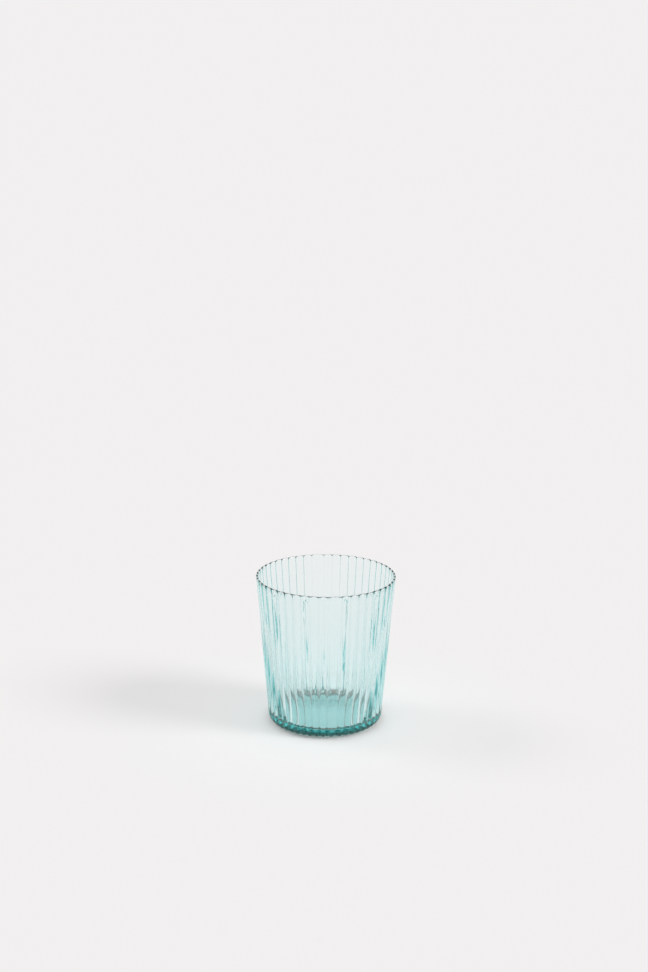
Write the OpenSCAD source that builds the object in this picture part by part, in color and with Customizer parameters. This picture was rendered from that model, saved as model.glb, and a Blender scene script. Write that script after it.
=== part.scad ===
// Tapered tea tumbler of pressed glass, tinted aqua, with ribs round the outside and no handle.
// The real glass is one piece. Its zones, the lip, the ribbed wall and the base, are separate
// solids here, cut on level planes where they meet face to face.
// Millimetres, +Z up, origin on the table under the middle of the foot.

/* [Glass] */
// Height from the table to the top of the lip
glass_h = 91; // [75:1:120]
// Diameter over the rib crests, carried up to the top of the lip
rim_d = 83; // [74:1:96]
// Diameter over the rib crests, carried down to the table
base_d = 67.5; // [60:0.5:72]

/* [Ribs] */
// Number of ribs round the glass, with the two wide ones on the mould seams
rib_count = 48; // [40:2:60]
// Width of a rib on a seam against the other ribs
seam_share = 1.45; // [1.1:0.05:1.6]
// Direction of one seam round the glass, from +X towards +Y
seam_turn = -82.7; // [-180:0.1:180]
// Depth of the valleys between the ribs at the rim
rib_depth_rim = 0.35; // [0.3:0.05:0.8]
// Depth of the valleys between the ribs at the foot
rib_depth_foot = 1.5; // [0.8:0.05:1.6]

/* [Wall] */
// Glass between a valley and the inside at the rim
wall_rim_t = 1; // [0.9:0.1:3]
// Glass between a valley and the inside at the floor
wall_floor_t = 2.4; // [1.4:0.1:4]

/* [Lip] */
// Height of the lip zone, down to the plain ribbed wall
lip_h = 3; // [2.5:0.5:8]
// Radius that rounds the rib ends over the outside of the lip
lip_round = 0.8; // [0.5:0.1:1]

/* [Base] */
// Glass between the inside floor and the table
floor_t = 4.5; // [3:0.5:8]
// Height of the base zone above the inside floor, up to the plain ribbed wall
base_over = 2; // [1:0.5:6]
// Radius of the corner between the inside wall and the floor
floor_round = 4; // [1.5:0.5:8]
// Radius of the rounded heel that the ribs run out on
heel_round = 5.5; // [3:0.5:7]
// Diameter of the shallow hollow that leaves a standing ring under the foot
foot_hollow_d = 44; // [30:1:44]
// Depth of that hollow in the middle
foot_hollow_depth = 0.8; // [0.3:0.1:1.2]

/* [Hidden] */
$fn = 96;

// How far cutting shapes run past the glass
overrun = 2;
// How far each rounding reaches past the face it runs into, which leaves a fine edge there
edge_break = 0.15;

rim_r = rim_d / 2;
base_r = base_d / 2;
lip_z = glass_h - lip_h;
base_z = floor_t + base_over;
clear_r = rim_r + overrun;
tall = glass_h + overrun;

// Turn from one rib to the next, and the turn that a seam rib takes
rib_turn = 360 / (rib_count - 2 + 2 * seam_share);
seam_rib_turn = rib_turn * seam_share;

// Radius of a rib's round back, from the crest circle, the valley depth and the turn it takes
function rib_round(crest, depth, turn) =
    let (valley = crest - depth)
    (pow(valley, 2) + pow(crest, 2) - 2 * valley * crest * cos(turn / 2))
    / (2 * (crest - valley * cos(turn / 2)));

// Circle through the axes of the plain ribs at the foot, and how far it opens up the glass
core_foot_r = base_r - rib_round(base_r, rib_depth_foot, rib_turn);
core_slope = (rim_r - rib_round(rim_r, rib_depth_rim, rib_turn) - core_foot_r) / glass_h;

// Radius of the crests, of the valleys and of the smooth inside at height z
function crest_r(z) = base_r + (rim_r - base_r) * z / glass_h;
function valley_r(z) = crest_r(z) - rib_depth_foot - (rib_depth_rim - rib_depth_foot) * z / glass_h;
mouth_r = valley_r(glass_h) - wall_rim_t;
floor_r = valley_r(floor_t) - wall_floor_t;
inside_slope = (mouth_r - floor_r) / (glass_h - floor_t);
function inside_r(z) = floor_r + inside_slope * (z - floor_t);

// Circle along the top of the lip, and the radius from there to the inside
crown_r = crest_r(glass_h - lip_round) - lip_round + edge_break;
lip_round_in = (crown_r - mouth_r + edge_break) / (1 - inside_slope);

// One rib: a leaning cone whose outer side is the crest line
module rib(turn) {
    round_foot = rib_round(base_r, rib_depth_foot, turn);
    round_rim = rib_round(rim_r, rib_depth_rim, turn);
    swell = (round_rim - round_foot) / glass_h;
    lean = atan((rim_r - round_rim - base_r + round_foot) / glass_h);
    translate([base_r - round_foot, 0, 0])
        rotate([0, lean, 0])
            translate([0, 0, -overrun])
                cylinder(h = (tall + overrun) / cos(lean),
                    r1 = round_foot - swell * overrun,
                    r2 = round_rim + swell * overrun);
}

// All the ribs round a solid core that reaches the axes of the plain ones
module ribbed_cone() {
    for (side = [0, 180])
        rotate(seam_turn + side) {
            rib(seam_rib_turn);
            for (i = [1 : rib_count / 2 - 1])
                rotate((seam_rib_turn - rib_turn) / 2 + i * rib_turn)
                    rib(rib_turn);
        }
    translate([0, 0, -overrun])
        cylinder(h = tall + overrun,
            r1 = core_foot_r - core_slope * overrun,
            r2 = core_foot_r + core_slope * tall);
}

// Half section of a tub: straight up from a corner of radius round_r, open above
module tub_section(centre_r, centre_z, round_r) {
    translate([centre_r, centre_z])
        circle(round_r);
    translate([0, -overrun])
        square([centre_r, tall + overrun]);
    translate([0, centre_z])
        square([clear_r, tall]);
}

// Outside: the heel, with the ribs left to shape the wall above it
module outside_section() {
    heel_z = heel_round - edge_break;
    heel_r = crest_r(heel_z) - heel_round + edge_break;
    intersection() {
        square([clear_r, tall]);
        tub_section(heel_r, heel_z, heel_round);
    }
}

// Inside: a smooth cone with a rounded corner at the level floor
module inside_section() {
    corner_z = floor_t + floor_round - edge_break;
    corner_r = inside_r(corner_z) - floor_round + edge_break;
    intersection() {
        polygon([[0, floor_t], [floor_r, floor_t], [inside_r(tall), tall], [0, tall]]);
        tub_section(corner_r, corner_z, floor_round);
    }
}

// What is taken off above the two roundings of the lip
module lip_trim_section() {
    difference() {
        translate([crown_r, glass_h - lip_round])
            square([clear_r, tall]);
        translate([crown_r, glass_h - lip_round])
            circle(lip_round);
    }
    difference() {
        translate([0, glass_h - lip_round_in])
            square([crown_r, tall]);
        translate([crown_r, glass_h - lip_round_in])
            circle(lip_round_in);
    }
}

// Shallow dish under the foot
module foot_hollow_section() {
    dish_r = (pow(foot_hollow_d / 2, 2) + pow(foot_hollow_depth, 2)) / (2 * foot_hollow_depth);
    translate([0, foot_hollow_depth - dish_r])
        circle(dish_r, $fn = 720);
}

// The glass between two heights
module zone(low, high) {
    intersection() {
        ribbed_cone();
        rotate_extrude()
            intersection() {
                translate([0, low])
                    square([clear_r, high - low]);
                difference() {
                    outside_section();
                    inside_section();
                    lip_trim_section();
                    foot_hollow_section();
                }
            }
    }
}

module lip() {
    color("#a9c8c8")
        zone(lip_z, tall);
}

module ribbed_wall() {
    color("#c6e3e4")
        zone(base_z, lip_z);
}

module base() {
    color("#6fb6b0")
        zone(0, base_z);
}

lip();
ribbed_wall();
base();
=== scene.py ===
# A ribbed tea tumbler of pressed aqua glass, standing by itself on a pale table.
import math

import bpy
from mathutils import Matrix, Vector


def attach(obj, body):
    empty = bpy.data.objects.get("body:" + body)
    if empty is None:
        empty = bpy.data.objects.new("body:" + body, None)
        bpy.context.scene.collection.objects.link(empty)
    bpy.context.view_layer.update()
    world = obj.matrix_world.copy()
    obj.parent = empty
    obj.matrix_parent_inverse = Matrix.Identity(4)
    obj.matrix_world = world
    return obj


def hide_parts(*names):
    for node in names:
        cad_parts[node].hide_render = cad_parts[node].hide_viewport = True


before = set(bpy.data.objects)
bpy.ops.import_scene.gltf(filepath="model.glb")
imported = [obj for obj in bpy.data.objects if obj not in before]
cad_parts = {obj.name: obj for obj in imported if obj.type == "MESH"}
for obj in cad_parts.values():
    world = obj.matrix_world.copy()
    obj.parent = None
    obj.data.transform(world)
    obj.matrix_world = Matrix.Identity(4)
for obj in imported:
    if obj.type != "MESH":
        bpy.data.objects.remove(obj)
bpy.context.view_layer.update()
scene = bpy.context.scene


# Glass: a tapered tumbler of soda-lime glass, pressed in one go in a mould of two halves and then
# fire-polished. It is smooth inside. The 48 ribs outside end in beads on the lip and run out on the
# rounded heel, and the two wider ones stand where the halves of the mould met.
MM = 0.001
glass_h = 91 * MM
rim_r = 41.5 * MM
base_r = 33.75 * MM
lean = math.atan((rim_r - base_r) / glass_h)
wall_rim = 0.9 * MM
wall_floor = 1.3 * MM
floor_t = 4.5 * MM
floor_round = 4 * MM
heel = 5.5 * MM
hollow_r = 22 * MM
hollow_depth = 0.8 * MM
ribs_a_half = 24
seam_share = 1.45
seam_turn = math.radians(-82.7)
pitch = math.pi / (ribs_a_half - 1 + seam_share)

# The valleys between the ribs are shallow on the wall, deeper low down and deepest near the heel.
# They fade out over the last share of the heel's curve, down to the table.
depth_rim = 0.36 * MM
depth_low = 0.32 * MM
depth_foot = 2 * MM
low_z = 40 * MM
low_share = 0.55
near_heel_z = 9 * MM
heel_fade_share = 0.3
bead_depth = 0.8 * MM

# A rib's back follows a power of the way across: 2 is round, more is flatter with steeper sides.
back_foot = 2
back_wall = 6
back_bead = 2
back_z = 80 * MM


def crest_r(z):
    """Radius over the rib crests at a height."""
    return base_r + (rim_r - base_r) * z / glass_h


def rib_depth(z):
    """Depth of the valleys at a height."""
    up = max(0, z)
    low = low_share * max(0, 1 - up / low_z) + (1 - low_share) * max(0, 1 - up / near_heel_z)
    return depth_low + (depth_rim - depth_low) * up / glass_h + (depth_foot - depth_low) * low


def rib_back(z):
    """Power of the curve over a rib's back at a height."""
    return back_wall + (back_foot - back_wall) * max(0, 1 - max(0, z) / back_z)


def run_to(r, z, steps):
    """Runs the half section straight on to a point, in equal steps."""
    line = bpy.context.object
    line.update_from_editmode()
    start = [v.co.copy() for v in line.data.vertices if v.select][0]
    for _ in range(steps):
        bpy.ops.mesh.extrude_region_move(
            TRANSFORM_OT_translate={"value": (Vector((r, 0, z)) - start) / steps})


def round_off(r, z, angle, steps):
    """Runs the half section round a centre; a positive angle turns to the axis on the way up."""
    bpy.ops.mesh.spin(steps=steps, angle=angle, center=(r, 0, z), axis=(0, 1, 0))


heel_r = crest_r(heel) - heel / math.cos(lean)
lip_half = (wall_rim + depth_rim) / 2
lip_z = glass_h - lip_half
lip_out = Vector((crest_r(lip_z), 0, lip_z))
lip_mid = lip_out - lip_half * Vector((math.cos(lean), 0, -math.sin(lean)))
lip_in = 2 * lip_mid - lip_out
floor_r = crest_r(floor_t) - rib_depth(floor_t) - wall_floor
inside_lean = math.atan((lip_in.x - floor_r) / (lip_in.z - floor_t))
corner_z = floor_t + floor_round
corner_r = floor_r + floor_round * math.tan(inside_lean) - floor_round / math.cos(inside_lean)
corner_top_r = corner_r + floor_round * math.cos(inside_lean)
corner_top_z = corner_z - floor_round * math.sin(inside_lean)
hollow_round = (hollow_r ** 2 + hollow_depth ** 2) / (2 * hollow_depth)

# The half section runs from the middle of the hollow round the heel, up the crests, over the lip,
# down the inside and in to the middle of the floor.
bpy.ops.object.select_all(action="DESELECT")
bpy.ops.mesh.primitive_circle_add(vertices=3, radius=MM)
bpy.ops.object.mode_set(mode="EDIT")
bpy.ops.mesh.merge(type="CENTER")
bpy.ops.transform.translate(value=(0, 0, hollow_depth))
round_off(0, hollow_depth - hollow_round, -math.asin(hollow_r / hollow_round), steps=8)
run_to(heel_r, 0, steps=2)
round_off(heel_r, heel, math.pi / 2 - lean, steps=22)
run_to(lip_out.x, lip_out.z, steps=28)
round_off(lip_mid.x, lip_mid.z, math.pi, steps=18)
run_to(corner_top_r, corner_top_z, steps=16)
round_off(corner_r, corner_z, inside_lean - math.pi / 2, steps=12)
run_to(0, floor_t, steps=8)
bpy.ops.object.mode_set(mode="OBJECT")
section = bpy.context.object


def valley_share(r, z, across):
    """How far in a point is pressed, against the deepest valley, at a share of the half width."""
    below = math.atan2(heel - z, r - heel_r) if z < heel else 0
    under_skin = heel - math.hypot(r - heel_r, heel - z) if below > lean else crest_r(z) - r
    if r < heel_r or (z < lip_mid.z and under_skin > lip_half):
        return 0
    fade = min(1, (math.pi / 2 - below) / (math.pi / 2 - lean) / heel_fade_share)
    valley = fade * abs(across) ** rib_back(z) * rib_depth(z)
    if z > lip_mid.z:
        over = math.atan2(z - lip_mid.z, r - lip_mid.x) * 2 / math.pi
        bead = abs(across) ** back_bead * bead_depth
        valley = valley + (bead - valley) * over if over < 1 else bead * (2 - over)
    return max(0, valley) / depth_foot


# A seam rib and a plain rib are spun from the section and pressed, with finer columns of faces at
# the valleys. The plain one is copied round half the glass, and that half is copied once more.
rib_columns = ((0.08, 3), (0.17, 3), (0.5, 4), (0.17, 3), (0.08, 3))
weld = 0.015 * MM
crease = math.radians(25)
halves = []
for width, copies in ((pitch * seam_share, 1), (pitch, ribs_a_half - 1)):
    bpy.ops.object.select_all(action="DESELECT")
    section.select_set(True)
    bpy.context.view_layer.objects.active = section
    bpy.ops.object.duplicate()
    rib = bpy.context.object
    bpy.ops.object.mode_set(mode="EDIT")
    bpy.ops.mesh.select_all(action="SELECT")
    for share, steps in rib_columns:
        bpy.ops.mesh.spin(steps=steps, angle=width * share, center=(0, 0, 0), axis=(0, 0, -1))
    bpy.ops.mesh.select_all(action="SELECT")
    bpy.ops.mesh.normals_make_consistent(inside=False)
    bpy.ops.object.mode_set(mode="OBJECT")
    valleys = rib.vertex_groups.new(name="valleys")
    for v in rib.data.vertices:
        across = math.atan2(v.co.y, v.co.x) / width * 2 - 1
        valleys.add([v.index], valley_share(v.co.xy.length, v.co.z, across), "REPLACE")
    press = rib.modifiers.new("press", "DISPLACE")
    press.vertex_group = "valleys"
    press.mid_level = 0
    press.strength = -depth_foot
    bpy.ops.object.modifier_apply(modifier="press")
    bpy.ops.object.mode_set(mode="EDIT")
    bpy.ops.mesh.select_all(action="SELECT")
    if copies > 1:
        bpy.ops.mesh.spin(steps=copies - 1, angle=width * (copies - 1), dupli=True,
                          center=(0, 0, 0), axis=(0, 0, -1))
    bpy.ops.object.mode_set(mode="OBJECT")
    rib.rotation_euler.z = seam_turn + (pitch * seam_share / 2 if copies > 1 else -width / 2)
    bpy.ops.object.transform_apply(location=False, rotation=True, scale=False)
    halves.append(rib)

bpy.data.objects.remove(section)
for rib in halves:
    rib.select_set(True)
bpy.ops.object.join()
glass = bpy.context.object
glass.name = "pressed_glass"
bpy.ops.object.mode_set(mode="EDIT")
bpy.ops.mesh.select_all(action="SELECT")
bpy.ops.mesh.spin(steps=1, angle=math.pi, dupli=True, center=(0, 0, 0), axis=(0, 0, -1))
bpy.ops.mesh.select_all(action="SELECT")
bpy.ops.mesh.remove_doubles(threshold=weld)
bpy.ops.mesh.normals_make_consistent(inside=False)
bpy.ops.object.mode_set(mode="OBJECT")
bpy.ops.object.shade_smooth_by_angle(angle=crease)


def linear(hex_colour):
    """Linear light from an sRGB hex colour."""
    parts = [int(hex_colour[i:i + 2], 16) / 255 for i in (1, 3, 5)]
    return [c / 12.92 if c <= 0.04045 else ((c + 0.055) / 1.055) ** 2.4 for c in parts]


def add_node(tree, kind, settings=None, links=None, **attributes):
    """A shader node with its attributes, its socket values and the outputs linked into it."""
    shader_node = tree.nodes.new(kind)
    for name, value in attributes.items():
        setattr(shader_node, name, value)
    for name, value in (settings or {}).items():
        shader_node.inputs[name].default_value = value
    for name, output in (links or {}).items():
        tree.links.new(output, shader_node.inputs[name])
    return shader_node


# Soda-lime glass, pressed and fire-polished: clear and glossy, with faint waves from the mould, and
# an aqua tint that gets deeper where more glass lies in the way. The density only has to be above
# the strongest absorption, as the colour is worked out from it.
wave_size = 9 * MM
wave_height = 0.02 * MM
wave_strength = 0.08
absorb_per_m = (49, 11, 11)
density = 1.25 * max(absorb_per_m)
aqua = bpy.data.materials.new("pressed aqua glass")
aqua.use_nodes = True
tree = aqua.node_tree
tree.nodes.clear()
place = add_node(tree, "ShaderNodeTexCoord")
ripple = add_node(tree, "ShaderNodeTexNoise", {"Scale": 1 / wave_size, "Detail": 1},
                  {"Vector": place.outputs["Object"]})
waves = add_node(tree, "ShaderNodeBump", {"Strength": wave_strength, "Distance": wave_height},
                 {"Height": ripple.outputs["Fac"]})
spot = add_node(tree, "ShaderNodeSeparateXYZ", None, {0: place.outputs["Object"]})

# The rib ends on the heel turn most light away from the eye and look dark. That dark is painted
# shade, a grey-brown tint on the skin there. The ring and the hollow under the foot get a faint aqua
# painted shade.
heel_shade_colour = "#786862"
under_foot_shade_colour = "#d9e9e9"
heel_edge = 1 * MM
shade_full_z = 3.6 * MM
shade_none_z = 5 * MM
flat = add_node(tree, "ShaderNodeVectorMath", {1: (1, 1, 0)}, {0: place.outputs["Object"]},
                operation="MULTIPLY")
from_axis = add_node(tree, "ShaderNodeVectorMath", None, {0: flat.outputs[0]}, operation="LENGTH")
on_heel = add_node(tree, "ShaderNodeMapRange",
                   {"From Min": heel_r - heel_edge, "From Max": heel_r + heel_edge},
                   {"Value": from_axis.outputs["Value"]})
on_foot = add_node(tree, "ShaderNodeMapRange",
                   {"From Min": shade_full_z, "From Max": shade_none_z, "To Min": 1, "To Max": 0},
                   {"Value": spot.outputs["Z"]})
# Painted shade on the foot: grey-brown on the heel, faint aqua on the ring and hollow inside it.
foot_shade = add_node(tree, "ShaderNodeMix",
                     {"A": linear(under_foot_shade_colour) + [1], "B": linear(heel_shade_colour) + [1]},
                     {"Factor": on_heel.outputs["Result"]}, data_type="RGBA")
skin_with_foot_shade = add_node(tree, "ShaderNodeMix", {"A": (1, 1, 1, 1)},
                {"Factor": on_foot.outputs["Result"], "B": foot_shade.outputs["Result"]},
                data_type="RGBA")

# The lip is dotted: painted shade darkens the notches between the beads, and a painted highlight
# makes their crowns pale. The angle from the seam, folded at each valley, places both.
notch_shade_colour = "#3f5252"
notch_full_share = 0.05
notch_none_share = 0.14
glint_none_share = 0.2
glint_full_share = 0.35
glint_transmission = 0.5
lip_none_z = glass_h - 1 * MM
lip_full_z = glass_h - 0.6 * MM
around = add_node(tree, "ShaderNodeMath", None, {0: spot.outputs["Y"], 1: spot.outputs["X"]},
                  operation="ARCTAN2")
from_seam = add_node(tree, "ShaderNodeMath", {1: 2 * math.pi - seam_turn},
                     {0: around.outputs[0]}, operation="ADD")
half_turn = add_node(tree, "ShaderNodeMath", {1: math.pi},
                     {0: from_seam.outputs[0]}, operation="MODULO")
past_seam = add_node(tree, "ShaderNodeMath", {1: pitch * seam_share / 2},
                     {0: half_turn.outputs[0]}, operation="SUBTRACT")
to_valley = add_node(tree, "ShaderNodeMath", {1: pitch / 2},
                     {0: past_seam.outputs[0]}, operation="PINGPONG")
on_lip = add_node(tree, "ShaderNodeMapRange", {"From Min": lip_none_z, "From Max": lip_full_z},
                  {"Value": spot.outputs["Z"]})
near_valley = add_node(tree, "ShaderNodeMapRange",
                       {"From Min": notch_full_share * pitch, "From Max": notch_none_share * pitch,
                        "To Min": 1, "To Max": 0},
                       {"Value": to_valley.outputs[0]})
notch_shade_mask = add_node(tree, "ShaderNodeMath", None,
                 {0: near_valley.outputs["Result"], 1: on_lip.outputs["Result"]},
                 operation="MULTIPLY")
# Painted shade: a dark grey-green in the notches between the beads on the lip.
skin_with_painted_shade = add_node(tree, "ShaderNodeMix", {"B": linear(notch_shade_colour) + [1]},
                    {"Factor": notch_shade_mask.outputs[0], "A": skin_with_foot_shade.outputs["Result"]}, data_type="RGBA")
# Painted highlight: on the bead crowns the glass is only half clear, so that part shows as pale matt
# white.
glint_across = add_node(tree, "ShaderNodeMapRange",
                    {"From Min": glint_none_share * pitch, "From Max": glint_full_share * pitch},
                    {"Value": to_valley.outputs[0]})
glint_mask = add_node(tree, "ShaderNodeMath", None,
                 {0: glint_across.outputs["Result"], 1: on_lip.outputs["Result"]},
                 operation="MULTIPLY")
clear = add_node(tree, "ShaderNodeMapRange", {"To Min": 1, "To Max": glint_transmission},
                 {"Value": glint_mask.outputs[0]})
body = add_node(tree, "ShaderNodeBsdfPrincipled",
                {"Roughness": 0, "IOR": 1.5, "Transmission Weight": 1},
                {"Base Color": skin_with_painted_shade.outputs["Result"],
                 "Transmission Weight": clear.outputs["Result"],
                 "Normal": waves.outputs["Normal"]})
tint = add_node(tree, "ShaderNodeVolumeAbsorption",
                {"Color": [1 - a / density for a in absorb_per_m] + [1], "Density": density})
add_node(tree, "ShaderNodeOutputMaterial", None,
         {"Surface": body.outputs["BSDF"], "Volume": tint.outputs["Volume"]})
glass.data.materials.append(aqua)
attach(glass, "root")
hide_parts("lip", "ribbed_wall", "base")


# Table: a level top covered with plain pale paper, which the glass stands on without being fixed.
# It runs on behind the glass past the top of the frame, and lies a hair below the foot.
table_w = 800
table_gap = 0.05 * MM
bpy.ops.object.select_all(action="DESELECT")
bpy.ops.mesh.primitive_plane_add(size=table_w, location=(0, 0, -table_gap))
table = bpy.context.object
table.name = "table"
bpy.ops.object.transform_apply(location=True, rotation=False, scale=False)

# Uncoated paper: even, off-white and without any gloss, so that shadows lie on it softly.
paper = bpy.data.materials.new("pale matt paper")
paper.use_nodes = True
tree = paper.node_tree
tree.nodes.clear()
sheet = add_node(tree, "ShaderNodeBsdfPrincipled",
                 {"Base Color": linear("#f7f5f5") + [1], "Roughness": 1, "Specular IOR Level": 0})
add_node(tree, "ShaderNodeOutputMaterial", None, {"Surface": sheet.outputs["BSDF"]})
table.data.materials.append(paper)


# Light: a wide soft light from the right and a little in front, a weaker one from the left and a
# little behind, and a pale room all round. Rays that pass through the glass miss the two lamps, which
# keeps its shadows soft and whole.
for name, azimuth, height, spread, strength in (
        ("key", -18, 35, 22, 0.8),
        ("fill", 162, 42, 22, 0.3)):
    lamp = bpy.data.objects.new(name, bpy.data.lights.new(name, "SUN"))
    lamp.data.angle = math.radians(spread)
    lamp.data.energy = strength
    lamp.rotation_euler = (0, math.radians(90 - height), math.radians(azimuth))
    lamp.visible_transmission = False
    scene.collection.objects.link(lamp)

# The room lights the table a little below white, shows white in and through the glass, and has the
# lit table's own colour where the camera sees it past the table's far edge.
room_strength = 0.74
scene.world = bpy.data.worlds.new("pale room")
scene.world.use_nodes = True
tree = scene.world.node_tree
tree.nodes.clear()
room_light = add_node(tree, "ShaderNodeBackground",
                      {"Color": (1, 1, 1, 1), "Strength": room_strength})
glass_room = add_node(tree, "ShaderNodeBackground", {"Color": (1, 1, 1, 1), "Strength": 1})
backdrop = add_node(tree, "ShaderNodeBackground",
                    {"Color": linear("#f1efef") + [1], "Strength": 1})
rays = add_node(tree, "ShaderNodeLightPath")
bent = add_node(tree, "ShaderNodeMath", None,
                {0: rays.outputs["Is Transmission Ray"], 1: rays.outputs["Is Glossy Ray"]},
                operation="MAXIMUM")
unseen = add_node(tree, "ShaderNodeMixShader", None,
                  {0: bent.outputs[0], 1: room_light.outputs[0], 2: glass_room.outputs[0]})
room = add_node(tree, "ShaderNodeMixShader", None,
                {0: rays.outputs["Is Camera Ray"], 1: unseen.outputs[0], 2: backdrop.outputs[0]})
add_node(tree, "ShaderNodeOutputWorld", None, {"Surface": room.outputs[0]})

# Light bends many times in the ribs before it comes out of them.
glass_bounces = 40
table_bounces = 8
scene.cycles.max_bounces = glass_bounces
scene.cycles.transmission_bounces = glass_bounces
scene.cycles.glossy_bounces = glass_bounces
scene.cycles.diffuse_bounces = table_bounces
scene.cycles.blur_glossy = 0
scene.view_settings.view_transform = "Standard"


# Camera: about a metre off and 20 degrees above the glass, which stands low in an upright frame.
# The focal length, the rim's radius and the place of the glass's middle are in pixels of that frame.
frame_w, frame_h = 648, 972
focal_px = 1800
rim_px = 69.21
middle_x_px, middle_y_px = 325.58, 646.82
film_mm = 36
look_down = math.radians(20.35)
roll = 0.0065
off_x = middle_x_px - frame_w / 2
off_y = middle_y_px - frame_h / 2
drop = math.atan(off_y / focal_px)
pan = (off_x + roll * off_y) / focal_px
distance = focal_px / rim_px * rim_r / math.cos(drop)
middle = Vector((0, 0, glass_h / 2))
eye = middle + distance * Vector((0, -math.cos(look_down), math.sin(look_down)))
camera = bpy.data.objects.new("camera", bpy.data.cameras.new("camera"))
camera.data.sensor_width = film_mm
camera.data.lens = focal_px * film_mm / frame_h
camera.data.clip_start = 0.01
camera.data.clip_end = 1000
camera.matrix_world = (Matrix.Translation(eye) @ Matrix.Rotation(pan, 4, "Z")
                       @ Matrix.Rotation(math.pi / 2 - look_down + drop, 4, "X")
                       @ Matrix.Rotation(roll, 4, "Z"))
scene.collection.objects.link(camera)
scene.camera = camera
